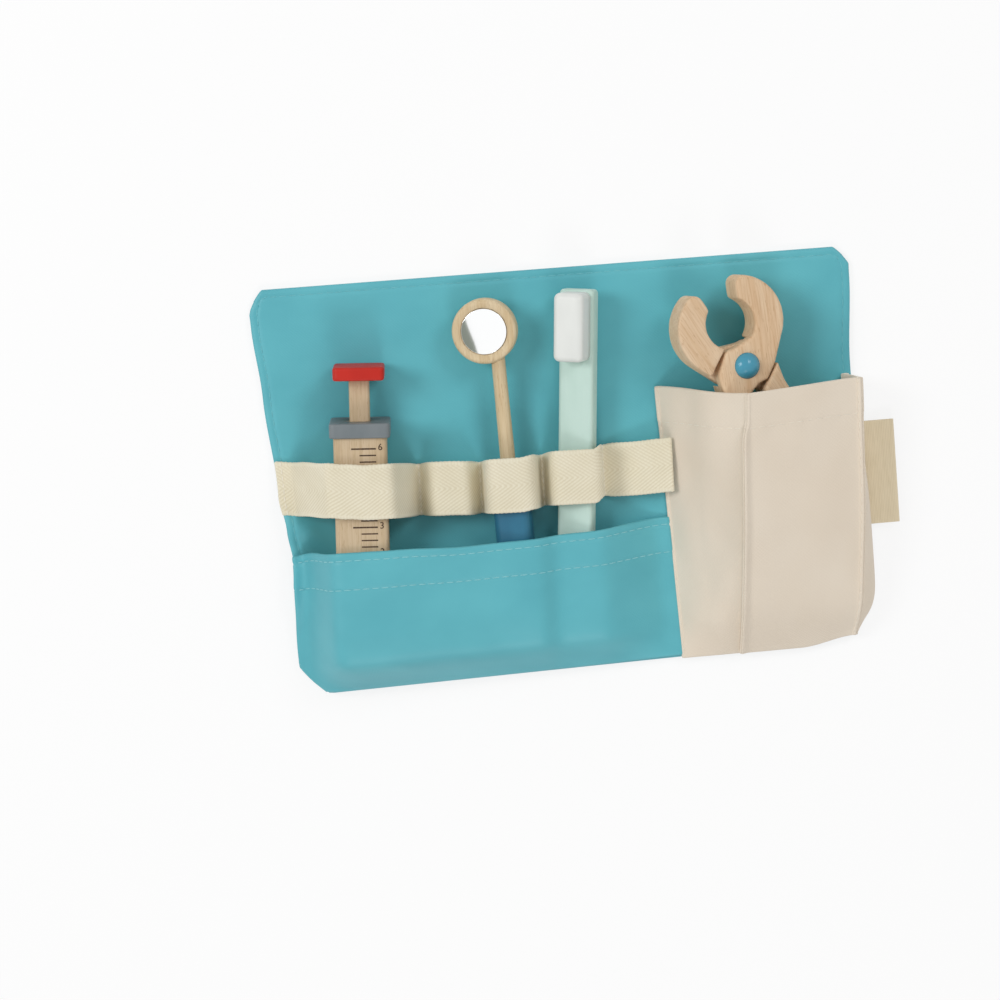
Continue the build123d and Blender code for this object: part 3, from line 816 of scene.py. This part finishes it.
def seam_x(y):
    return CASE_SIDE - SEAM_INSET[0] - (SEAM_INSET[1] - SEAM_INSET[0]) * (
        (y - BOX_LEVELS[0]) / (BOX_LEVELS[-1] - BOX_LEVELS[0]))


def lip_sway(x, y):
    """The lip stands higher at the root than at the ridge."""
    share = max(0.0, (y - BOX_LEVELS[0]) / (BOX_LEVELS[-1] - BOX_LEVELS[0])) ** 2
    return share * eased(((35.0, 1.3), (62.0, -1.3), (105.0, 0.0)), x)


def pinch(lean):
    """Which way a pinched seam stands, and which way its right side lies."""
    stand = Vector((sin(lean), 0, cos(lean)))
    return stand, Vector((stand.z, 0, -stand.x))


RIDGE_STAND, RIDGE_SIDE = pinch(radians(-52))
CREASE_STAND, CREASE_SIDE = pinch(radians(38))


def run_of(points, counts):
    """One section of a panel: straight runs with this many steps each, eased at the folds."""
    made = [points[0]]
    for a, b, count in zip(points, points[1:], counts):
        made.extend(a.lerp(b, (k + 1) / count) for k in range(count))
    return softened(made, 3)


def box_panel(name, sections, main, bulge, node, seed):
    """A canvas panel with its slack, hem and lip; main is the columns of its free part."""
    rows, relief = [], []
    start, end = main
    for y, section in sections:
        drop = BOX_LEVELS[-1] - y
        row = []
        for j, point in enumerate(section):
            if start < j < end:
                share = (j - start) / (end - start)
                run = section[j + 1] - section[j - 1]
                out = Vector((-run.z, 0, run.x)).normalized()
                soft = 0.5 + waviness(share * 2.3, y / 24, seed)
                depth = bulge * sin(pi * share) * max(0.0, soft) * min(1.0, (y + CASE_TOP) / 14)
                ripple = 0.22 * dent(drop - HEM_DEPTH, 3.0) * waviness(share * 9, y / 8, seed + 1)
                point = point + out * (depth + ripple)
            row.append(point + Vector((0, lip_sway(point.x, y) + hem_turn(point.x, y), 0)))
        groove = 0.35 * dent(drop - HEM_STITCH, 0.45) + 0.15 * dent(drop - 1.6, 0.5)
        rows.append(row)
        relief.append([0.45 * fading(drop - HEM_DEPTH, 5) - groove] * len(row))
    made, front = cloth(name, rows, BOX_SHEET, natural_canvas, relief)
    dressed(made, "case", "natural_canvas", node)
    return front


def box_pocket():
    half = BOX_SHEET / 2
    levels = spaced(BOX_LEVELS[0] + half, BOX_LEVELS[-1] - half, 0.6)
    ridge = station_line(levels, RIDGE)
    crease = station_line(levels, CREASE)
    bulge = station_line(levels, BULGE)
    low = LINING_TOP + half
    lefts, fronts, rights = [], [], []
    for y, top, fold, belly in zip(levels, ridge, crease, bulge):
        drop = Vector((0, 0, -half))
        top, fold = top + drop, fold + drop
        seam = seam_x(y)
        base = CASE_SIDE - station(y, BASE_INSET)
        lift = 0.9 if y > BOX_LEVELS[2] - 9 else 0.0
        tuck = 0.3 + 1.9 * min(1.0, (y - BOX_LEVELS[0]) / 18)
        fin = FIN * (0.25 + 0.75 * fading(y - BOX_LEVELS[-1] + HEM_DEPTH, 0.8))
        ridge_left = top - RIDGE_SIDE * half
        ridge_right = top + RIDGE_SIDE * half
        fold_left = fold - CREASE_SIDE * half
        fold_right = fold + CREASE_SIDE * half
        lefts.append((y, run_of([
            Vector((seam - 0.4, y, low)), Vector((seam + 0.6, y, low)), ridge_left,
            ridge_left + RIDGE_STAND * fin], (5, 52, 5))))
        fronts.append((y, run_of([
            ridge_right + RIDGE_STAND * fin, ridge_right, fold_left,
            fold_left + CREASE_STAND * FIN * 0.45], (5, 60, 4))))
        rights.append((y, run_of([
            fold_right + CREASE_STAND * FIN * 0.45, fold_right, belly,
            Vector((base, y, low + lift)), Vector((base + tuck, y, low + lift))], (4, 14, 12, 4))))
    left = box_panel("left_gusset_cloth", lefts, (5, 57), 2.4, "box_pocket_left_gusset",
                     11.0)
    front = box_panel("pocket_front_cloth", fronts, (5, 65), 0.7, "box_pocket_front",
                      21.0)
    right = box_panel("right_gusset_cloth", rights, (4, 30), 0.4, "box_pocket_right_gusset",
                      31.0)
    hem_row = nearest(levels, BOX_LEVELS[-1] - HEM_STITCH)
    lines = [left[hem_row][4:-5], front[hem_row][6:-5], right[hem_row][5:-3]]
    lines += [[row[-3] for row in left[4:hem_row]], [row[-2] for row in front[4:]],
              [row[2] for row in left[4:-4]]]
    sewn("box_stitching", lines, canvas_thread, slot="natural_canvas", radius=0.17)


# Side tag

TAG_LENGTH = 37.5
TAG_REACH = 119.0
TAG_ROOT = 102.2
TAG_MIDDLE = -10.7
TAG_SHEET = 0.34


def side_tag():
    """A loop of ribbon with nothing on it, sewn in by its two ends."""
    low = LINING_TOP + TAG_SHEET / 2
    fold = 0.24
    path = [Vector((x, 0, low)) for x in spaced(TAG_ROOT, TAG_REACH - fold - TAG_SHEET / 2, 0.8)]
    middle = path[-1] + Vector((0, 0, fold))
    path += [middle + Vector((sin(a), 0, -cos(a))) * fold for a in spaced(pi / 8, 7 * pi / 8, pi / 8)]
    path += [Vector((point.x, 0, low + 2 * fold)) for point in reversed(path[:-7])]
    half = TAG_LENGTH / 2 - TAG_SHEET / 2
    rows = []
    for y in spaced(-half, half, 0.9):
        row = []
        for point in reversed(path):
            curl = 0.5 * max(0.0, (point.x - CASE_SIDE) / 13) ** 2
            row.append(Vector((point.x, TAG_MIDDLE + y, point.z + curl * (1 + 0.4 * y / half))))
        rows.append(row)
    made, _ = cloth("ribbon_tag", rows[::-1], TAG_SHEET, label_ribbon)
    dressed(made, "case", "tag_ribbon", "side_tag")


# Wooden pieces, lofted in each tool's own frame

def rounded_ring(width, depth, edge, y, steps=6):
    """A rounded rectangle across the tool's axis, seen from its end."""
    edge = max(min(edge, width / 2 - 0.01, depth / 2 - 0.01), 0.05)
    ring = []
    for quarter in range(4):
        sign_x = (1, -1, -1, 1)[quarter]
        sign_z = (1, 1, -1, -1)[quarter]
        for k in range(steps + 1):
            angle = (quarter + k / steps) * pi / 2
            ring.append(Vector((sign_x * (width / 2 - edge) + edge * cos(angle), y,
                                sign_z * (depth / 2 - edge) + edge * sin(angle))))
    return ring


def lofted(name, rings, place, finish, closed=False):
    """Faces between rings of as many points, with both ends closed, or joined into a loop."""
    count = len(rings[0])
    points = [place @ point for ring in rings for point in ring]
    faces = []
    pairs = len(rings) if closed else len(rings) - 1
    for i in range(pairs):
        a, b = i * count, (i + 1) % len(rings) * count
        for j in range(count):
            k = (j + 1) % count
            faces.append((a + j, a + k, b + k, b + j))
    if not closed:
        faces.append(tuple(reversed(range(count))))
        faces.append(tuple(range((len(rings) - 1) * count, len(rings) * count)))
    made = made_object(name, points, faces, finish)
    work = bmesh.new()
    work.from_mesh(made.data)
    bmesh.ops.recalc_face_normals(work, faces=work.faces)
    work.to_mesh(made.data)
    work.free()
    return made


def bar_rings(width, depth, edge, start, end, ease):
    """A bar along Y with round long edges and eased ends."""
    turns = [k * pi / 8 for k in range(5)]
    tip = [(ease * (1 - sin(turn)), ease * (1 - cos(turn))) for turn in turns]
    stations = [(inset, start + rise) for inset, rise in tip]
    stations += [(0.0, start + share * (end - start)) for share in (0.25, 0.5, 0.75)]
    stations += [(inset, end - rise) for inset, rise in reversed(tip)]
    return [rounded_ring(width - 2 * inset, depth - 2 * inset, edge - inset, y) for inset, y in stations]


def wooden_bar(name, size, edge, span, ease, place, finish, *worn):
    """A bar, whose size is its width and depth; worn is its body, slot and node."""
    dressed(lofted(name, bar_rings(*size, edge, *span, ease), place, finish), *worn)


def circle(radius, y, count=48):
    turns = [2 * pi * k / count for k in range(count)]
    return [Vector((radius * cos(turn), y, radius * sin(turn))) for turn in turns]


def turned(name, profile, place, finish, count=48):
    """A piece turned on a lathe about its Y axis, from (radius, y) points."""
    return lofted(name, [circle(radius, y, count) for radius, y in profile], place, finish)


BARREL_WIDTH = 18.7
BARREL_SPAN = (-47.0, 25.4)
BARREL_FLOOR = 4.0
BORE_RADIUS = 6.4
COLLAR_WIDTH = 21.4
COLLAR_SPAN = (22.6, 27.8)
ROD_WIDTH = 7.2
BUTTON_BOTTOM = 42.6
BUTTON_HEIGHT = 4.7


def ring_of_circle(radius, y, like):
    """A circle with as many points as a rounded ring, each in the same direction."""
    return [Vector((p.x, 0, p.z)).normalized() * radius + Vector((0, y, 0)) for p in like]


def syringe():
    low, high = BARREL_SPAN
    outer = bar_rings(BARREL_WIDTH, BARREL_WIDTH, 1.8, low, high, 0.7)
    bore = [ring_of_circle(BORE_RADIUS, y, outer[-1]) for y in (high, low + BARREL_FLOOR)]
    barrel = lofted("square_barrel", [*outer, *bore], SYRINGE, syringe_wood)
    dressed(barrel, "syringe", "pale_wood", "syringe_barrel")
    hole = (ROD_WIDTH + 0.16, ROD_WIDTH + 0.16, 1.2)
    seat = (BARREL_WIDTH, BARREL_WIDTH, 1.8)
    inside = [rounded_ring(*hole, COLLAR_SPAN[1]), rounded_ring(*hole, high), rounded_ring(*seat, high),
              rounded_ring(*seat, COLLAR_SPAN[0])]
    skin = bar_rings(COLLAR_WIDTH, COLLAR_WIDTH, 1.9, *COLLAR_SPAN, 0.6)
    collar = lofted("grey_collar", [*skin, *inside], SYRINGE, grey_paint, closed=True)
    dressed(collar, "syringe", "grey_paint", "syringe_collar")
    tip = low - 8.5
    profile = ((1.5, tip), (2.0, tip + 0.15), (2.2, tip + 0.6), (3.4, low), (2.4, low),
               (2.4, low + BARREL_FLOOR))
    nozzle = turned("turned_nozzle", profile, SYRINGE, grey_paint, 32)
    dressed(nozzle, "syringe", "grey_paint", "syringe_nozzle")
    wooden_bar("plunger_bar", (ROD_WIDTH, ROD_WIDTH), 1.2, (-23.9, BUTTON_BOTTOM + 2.6), 0.3,
               SYRINGE, syringe_wood, "plunger", "pale_wood", "plunger_rod")
    wooden_bar("red_button", (18.0, 18.0), 1.8, (BUTTON_BOTTOM, BUTTON_BOTTOM + BUTTON_HEIGHT), 0.8,
               SYRINGE, red_paint, "plunger", "red_paint", "plunger_button")
    in_one_finish(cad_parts["plunger_piston"].data, syringe_wood)
    printed_scale()


TICK_TOP = 18.8
TICK_PITCH = 2.32
TICK_RIGHT = 5.6
TICKS_TO_A_NUMBER = 4
NUMBERS = "654321"
# Length and thickness
LONG_TICK = (8.7, 0.56)
SHORT_TICK = (5.8, 0.48)


def printed_scale():
    """Thin printed ticks, a longer one at each number, and plain numbers."""
    joined = bmesh.new()

    def printed(mesh, x, y):
        """Onto the barrel's face, a little above it."""
        mesh.transform(in_metres(SYRINGE) @ Matrix.Translation(Vector((x, y, BARREL_WIDTH / 2 + 0.02)) * MM))
        joined.from_mesh(mesh)

    for first, (length, thick) in enumerate((LONG_TICK, *[SHORT_TICK] * (TICKS_TO_A_NUMBER - 1))):
        row = grown("tick_row", bpy.data.meshes.new("tick_start"), ticks, Count=len(NUMBERS),
                    Step=(0, -TICKS_TO_A_NUMBER * TICK_PITCH * MM, 0),
                    Size=(length * MM, thick * MM, 0.05 * MM), Ink=ink)
        printed(row.data, TICK_RIGHT - length / 2, TICK_TOP - first * TICK_PITCH)
        bpy.data.objects.remove(row)
    for k, number in enumerate(NUMBERS):
        text = bpy.data.curves.new("number", "FONT")
        text.body = number
        text.size = 3.3 * MM
        text.extrude = 0.025 * MM
        text.offset = 0.03 * MM
        text.align_x = text.align_y = "CENTER"
        level = TICK_TOP - k * TICKS_TO_A_NUMBER * TICK_PITCH
        printed(plain_mesh(linked("number", text)), TICK_RIGHT + 1.5, level + 0.5)
    mesh = bpy.data.meshes.new("printed_scale")
    joined.to_mesh(mesh)
    joined.free()
    dressed(linked("printed_scale", in_one_finish(mesh, ink)), "syringe", "pale_wood")


def in_metres(place):
    """A place in millimetres as a matrix for meshes in metres."""
    made = place.copy()
    made.translation = place.translation * MM
    return made


RING_CENTRE = (-3.7, 53.5, 0.0)
RING_RADIUS = 11.5
RING_THICKNESS = 7.0
GLASS_RADIUS = 8.1
GLASS_RECESS = 1.5
GRIP_SPAN = (-58.0, 1.0)


def mouth_mirror():
    """The ring and the glass are turned about Z, so their profile stands on the lathe's Y."""
    stand = MIRROR @ Matrix.Translation(RING_CENTRE) @ Matrix.Rotation(pi / 2, 4, "X")
    front = RING_THICKNESS / 2
    ease = 1.3
    wide = RING_RADIUS - ease
    profile = [(wide, -front)]
    profile += [(wide + ease * sin(a), -front + ease - ease * cos(a)) for a in spaced(pi / 8, pi / 2, pi / 8)]
    profile += [(wide + ease * cos(a), front - ease + ease * sin(a)) for a in spaced(0, pi / 2, pi / 8)]
    profile += [(GLASS_RADIUS + aside, front - down) for aside, down in (
        (1.9, 0.05), (0.5, 0.2), (0.25, 0.5), (0.2, GLASS_RECESS))]
    ring = turned("mirror_frame", profile, stand, mirror_wood, 96)
    dressed(ring, "mirror", "pale_wood", "mirror_ring")
    seat = front - GLASS_RECESS
    # The last ring keeps the face's shading flat, so that it mirrors as a plane
    profile = [(GLASS_RADIUS - inset, seat + rise) for inset, rise in (
        (0.05, 0.0), (0.05, 0.96), (0.09, 1.0), (0.14, 1.0), (0.6, 1.0))]
    dressed(turned("mirror_disc", profile, stand, silver, 96), "mirror", "mirror_film", "mirror_glass")
    top = RING_CENTRE[1] - sqrt(RING_RADIUS ** 2 - RING_CENTRE[0] ** 2)
    profile = ((2.7, GRIP_SPAN[1] - 12), (2.75, GRIP_SPAN[1]), (2.65, 14.0), (2.5, 30.0), (2.45, top + 1.5))
    dressed(turned("mirror_dowel", profile, MIRROR, mirror_wood, 32), "mirror", "pale_wood", "mirror_rod")
    wooden_bar("blue_grip", (12.8, 12.8), 3.2, GRIP_SPAN, 0.9, MIRROR, blue_grip_paint,
               "mirror", "blue_paint", "mirror_grip")


BRUSH_SPAN = (-56.0, 65.5)
HANDLE_SIZE = (13.0, 6.2)
BLOCK_SIZE = (11.0, 24.2, 8.6)


def toothbrush():
    wooden_bar("mint_handle", HANDLE_SIZE, 1.6, BRUSH_SPAN, 1.5, BRUSH, mint_paint,
               "toothbrush", "mint_paint", "brush_handle")
    width, length, height = BLOCK_SIZE
    middle = Matrix.Translation((0, BRUSH_SPAN[1] - 0.8 - length / 2, 0))
    stand = BRUSH @ middle @ Matrix.Rotation(pi / 2, 4, "X")
    face = HANDLE_SIZE[1] / 2
    rings = [rounded_ring(width, length, 2.2, face + rise) for rise in (-0.2, 3.0)]
    ease = 2.0
    for k in range(7):
        inset, rise = ease * (1 - cos(k * pi / 12)), ease * sin(k * pi / 12)
        rings.append(rounded_ring(width - 2 * inset, length - 2 * inset, 2.2 - 0.6 * inset,
                                  face + height - ease + rise))
    block = lofted("white_bristle_block", rings, stand, white_paint)
    dressed(block, "toothbrush", "white_paint", "brush_bristle_block")


VOXEL = 0.42
SANDING_PASSES = 34
SAME_PLACE = 0.005


def sanded_copy(name, node, place, finish):
    """A copy of a sharp node with its edges sanded round: remeshed in its own frame and smoothed."""
    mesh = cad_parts[node].data.copy()
    mesh.transform(in_metres(place).inverted())
    work = bmesh.new()
    work.from_mesh(mesh)
    bmesh.ops.remove_doubles(work, verts=work.verts, dist=SAME_PLACE * MM)
    work.to_mesh(mesh)
    work.free()
    sharp = linked(name, mesh)
    remesh = sharp.modifiers.new("grid", "REMESH")
    remesh.mode = "VOXEL"
    remesh.voxel_size = VOXEL * MM
    remesh.use_smooth_shade = True
    ease = sharp.modifiers.new("sanding", "SMOOTH")
    ease.factor = 0.5
    ease.iterations = SANDING_PASSES
    done = plain_mesh(sharp)
    done.transform(in_metres(place))
    return linked(name, in_one_finish(done, finish))


CAP_RADIUS = 4.6
CAP_HEIGHT = 2.8
CAP_BASE = 6.0


def pliers():
    for name, node, place, finish, body in (
            ("right_jaw_arm", "pliers_front_arm", FRONT_ARM, front_arm_wood, "pliers_front"),
            ("left_jaw_arm", "pliers_back_arm", BACK_ARM, back_arm_wood, "pliers_back")):
        dressed(sanded_copy(name, node, place, finish), body, "warm_wood", node)
    in_one_finish(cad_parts["pliers_pivot_pin"].data, front_arm_wood)
    sphere = (CAP_RADIUS ** 2 + CAP_HEIGHT ** 2) / (2 * CAP_HEIGHT)
    for name, node, turn, base in (("front_dome", "pliers_front_cap", pi / 2, CAP_BASE),
                                   ("back_dome", "pliers_back_cap", -pi / 2, CAP_BASE + 0.1)):
        profile = [(CAP_RADIUS - 0.2, base), (CAP_RADIUS, base + 0.15)]
        for k in range(1, 13):
            height = 0.15 + (CAP_HEIGHT - 0.15) * sin(k * pi / 24)
            radius = sqrt(max(sphere ** 2 - (height + sphere - CAP_HEIGHT) ** 2, 0.0))
            profile.append((max(radius, 0.05), base + height))
        made = turned(name, profile, PLIERS @ Matrix.Rotation(turn, 4, "X"), cap_paint, 48)
        dressed(made, "pliers_front", "blue_paint", node)


# Studio

VIEW_TILT = radians(8.0)
VIEW_TURN = radians(-1.0)
VIEW_ROLL = radians(5.03)
VIEW_DISTANCE = 0.9007
VIEW_LENS = 90.0
SENSOR = 36.0
PICTURE = 1000
AIM = Vector((-1.0, -0.1, 0.0)) * MM
AIM_PIXEL = (562.07, 469.7)


def camera():
    """The camera stands beyond the case's top edge and looks down, so that the aim falls on its pixel."""
    back = Vector((sin(VIEW_TURN) * cos(VIEW_TILT), sin(VIEW_TILT), cos(VIEW_TURN) * cos(VIEW_TILT)))
    upright = (Vector((0, 1, 0)) - back * back.y).normalized()
    level = (-back).cross(upright)
    right = level * cos(VIEW_ROLL) - upright * sin(VIEW_ROLL)
    up = level * sin(VIEW_ROLL) + upright * cos(VIEW_ROLL)
    pixel = VIEW_DISTANCE * SENSOR / (VIEW_LENS * PICTURE)
    aside = (AIM_PIXEL[0] - PICTURE / 2) * pixel
    above = (PICTURE / 2 - AIM_PIXEL[1]) * pixel
    lens = bpy.data.cameras.new("camera")
    lens.lens = VIEW_LENS
    lens.sensor_width = SENSOR
    lens.clip_start = 0.05
    lens.clip_end = 20.0
    made = linked("camera", lens)
    made.matrix_world = Matrix((right, up, back)).transposed().to_4x4()
    made.location = AIM + back * VIEW_DISTANCE - right * aside - up * above
    bpy.context.scene.camera = made


# In metres: the white floor, and a grey card one metre up that glows grey by itself and that only the mirror
# disc sees, as a painted grey reflection
FLOOR_SIDE = 3.0
FLOOR_LEVEL = -0.0002
CARD = ((-0.3580, -0.136, 1.0), (-0.3915, -0.016, 1.0), (-0.50, 0.02, 1.0), (-0.53, -0.10, 1.0))


def lamp(name, place, size, power):
    """A round softbox, in metres and watts, that shines on the case's middle."""
    light = bpy.data.lights.new(name, "AREA")
    light.shape = "DISK"
    light.size = size
    light.energy = power
    made = linked(name, light)
    made.location = place
    made.rotation_mode = "QUATERNION"
    made.rotation_quaternion = (Vector() - Vector(place)).to_track_quat("-Z", "Y")


def seen_directly(tree):
    """1 for the camera, mirrors and clear things, and 0 for light that falls on the object."""
    path = add(tree, "ShaderNodeLightPath").outputs
    either = maths(tree, "MAXIMUM", path["Is Camera Ray"], path["Is Glossy Ray"])
    return maths(tree, "MAXIMUM", either, path["Is Transmission Ray"])


def backdrop(name, corners, finish):
    mesh = bpy.data.meshes.new(name)
    mesh.from_pydata(corners, [], [(0, 1, 2, 3)])
    mesh.materials.append(finish)
    return linked(name, mesh)


def studio():
    world = bpy.data.worlds.new("studio")
    bpy.context.scene.world = world
    world.use_nodes = True
    tree = world.node_tree
    sky = tree.nodes["Background"].inputs
    sky["Color"].default_value = WHITE
    level = add(tree, "ShaderNodeMapRange", {"Value": seen_directly(tree), "To Min": 0.43, "To Max": 1.0})
    tree.links.new(level.outputs[0], sky["Strength"])
    lamp("left_softbox", (-0.75, 0.35, 0.85), 0.45, 4.8)
    lamp("right_softbox", (0.6, 0.6, 0.85), 0.45, 2.9)
    lamp("front_softbox", (0.0, -0.85, 0.8), 0.4, 2.6)

    paper, tree = material("white_paper", Base_Color=(0.93, 0.93, 0.93, 1), Roughness=0.95)
    share = maths(tree, "MULTIPLY", add(tree, "ShaderNodeLightPath").outputs["Is Camera Ray"], 0.8)
    glow = add(tree, "ShaderNodeEmission", {"Color": WHITE, "Strength": 1.0}).outputs[0]
    matt = tree.nodes["Principled BSDF"].outputs[0]
    mixed = add(tree, "ShaderNodeMixShader", {0: share, 1: matt, 2: glow}).outputs[0]
    tree.links.new(mixed, tree.nodes["Material Output"].inputs["Surface"])
    corners = ((-1, -1), (1, -1), (1, 1), (-1, 1))
    floor = backdrop("floor", [(x * FLOOR_SIDE, y * FLOOR_SIDE, FLOOR_LEVEL) for x, y in corners], paper)

    # The card is no lamp and no lit thing: its grey is its own glow, hidden from the camera, from light on
    # other surfaces and from shadows.
    grey, tree = material("grey_card")
    shine = add(tree, "ShaderNodeEmission", {"Color": paint("#858A80"), "Strength": 1.0}).outputs[0]
    tree.links.new(shine, tree.nodes["Material Output"].inputs["Surface"])
    card = backdrop("grey_card", CARD, grey)
    card.visible_camera = card.visible_diffuse = card.visible_shadow = False
    bpy.context.scene.view_settings.view_transform = "Standard"


camera()
studio()
case_panels()
front_pocket()
loop_tape()
box_pocket()
side_tag()
syringe()
mouth_mirror()
toothbrush()
pliers()
